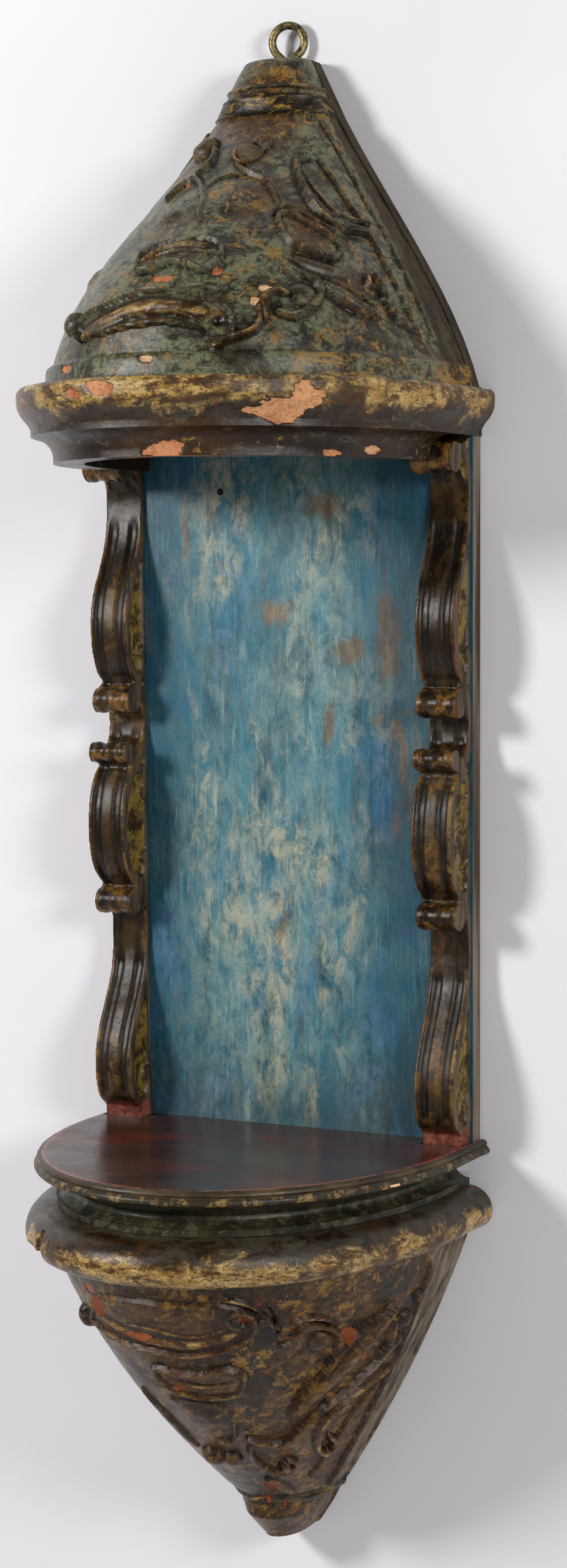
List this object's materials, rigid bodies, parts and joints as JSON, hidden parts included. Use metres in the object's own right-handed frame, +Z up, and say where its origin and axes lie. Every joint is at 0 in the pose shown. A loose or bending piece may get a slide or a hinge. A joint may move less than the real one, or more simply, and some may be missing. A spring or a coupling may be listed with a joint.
{
  "type": "statue wall bracket",
  "caption": "Carved, painted and gilded wall niche: half-round statue shelf on a carved corbel, blue back board, scrolled pilasters, half-cone canopy and screw eye.",
  "frame": {"origin": "on the wall plane, at the middle of the back board's flat back, 219 mm above the shelf's top", "axes": "+Z up, +Y into the wall, +X to the right as seen from the front"},
  "size_m": [0.29, 0.2442, 1.0068],
  "materials": {
    "board_paint": "worn matte paint",
    "canopy_paint": "worn paint and gilding, satin",
    "pilaster_gilding": "darkened gilding, satin",
    "shelf_varnish": "glossy varnish",
    "corbel_paint": "worn paint and gilding, satin",
    "eye_brass": "aged"
  },
  "bodies": {
    "root": {"back_board": "board_paint", "canopy": "canopy_paint", "pilaster_left": "pilaster_gilding", "pilaster_right": "pilaster_gilding", "shelf": "shelf_varnish", "corbel": "corbel_paint", "hanging_eye": "eye_brass"}
  },
  "joints": []
}
